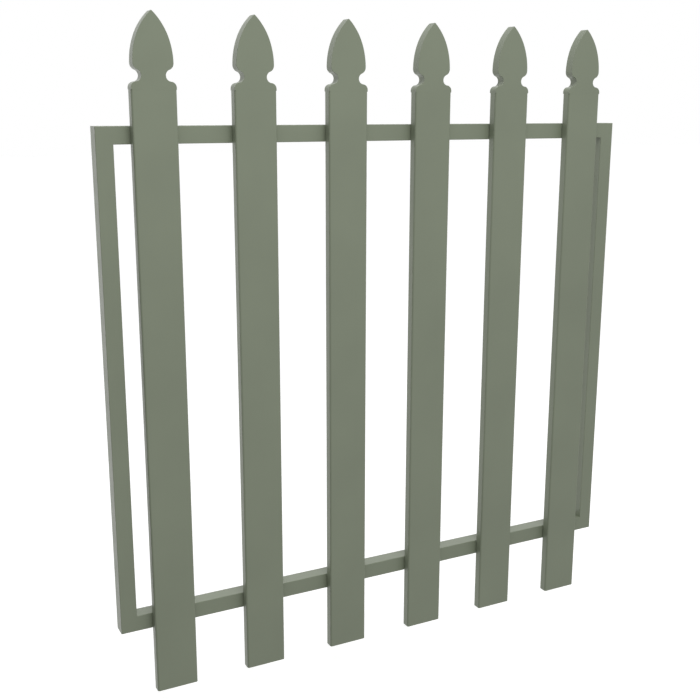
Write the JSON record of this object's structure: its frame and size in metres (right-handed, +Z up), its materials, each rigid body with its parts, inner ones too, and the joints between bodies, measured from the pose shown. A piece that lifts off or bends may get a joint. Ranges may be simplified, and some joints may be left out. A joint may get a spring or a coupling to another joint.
{
  "type": "garden gate leaf",
  "caption": "Flat picket gate leaf: square-tube frame with evenly spaced hollow pickets screwed to its front, each with a gothic spear-shaped cap, closing a path opening in a garden fence.",
  "frame": {"origin": "under the middle of the leaf, at the height of the picket feet: centre of the bounding box across and front to back", "axes": "+X across the leaf to the right as seen from its front, +Y from the picket front to the back of the frame, +Z up"},
  "size_m": [0.9114, 0.044, 1.0142],
  "materials": {
    "frame_powder_coat": "satin powder coat, muted sage green",
    "picket_powder_coat": "satin powder coat, muted sage green",
    "cap_powder_coat": "satin coat matched to the pickets",
    "screw_paint": "colour-matched enamel on steel",
    "key_nylon": "moulded nylon, unseen inside the tubes",
    "plug_plastic": "moulded polyethylene"
  },
  "bodies": {
    "root": {"frame_stile_left": "frame_powder_coat", "frame_stile_right": "frame_powder_coat", "frame_rail_bottom": "frame_powder_coat", "frame_rail_top": "frame_powder_coat", "corner_key_bottom_left": "key_nylon", "corner_key_bottom_right": "key_nylon", "bottom_rail_screws": "screw_paint", "corner_key_top_left": "key_nylon", "corner_key_top_right": "key_nylon", "top_rail_screws": "screw_paint", "picket_1": "picket_powder_coat", "picket_cap_1": "cap_powder_coat", "foot_plug_1": "plug_plastic", "picket_2": "picket_powder_coat", "picket_cap_2": "cap_powder_coat", "foot_plug_2": "plug_plastic", "picket_3": "picket_powder_coat", "picket_cap_3": "cap_powder_coat", "foot_plug_3": "plug_plastic", "picket_4": "picket_powder_coat", "picket_cap_4": "cap_powder_coat", "foot_plug_4": "plug_plastic", "picket_5": "picket_powder_coat", "picket_cap_5": "cap_powder_coat", "foot_plug_5": "plug_plastic", "picket_6": "picket_powder_coat", "picket_cap_6": "cap_powder_coat", "foot_plug_6": "plug_plastic"}
  },
  "joints": []
}
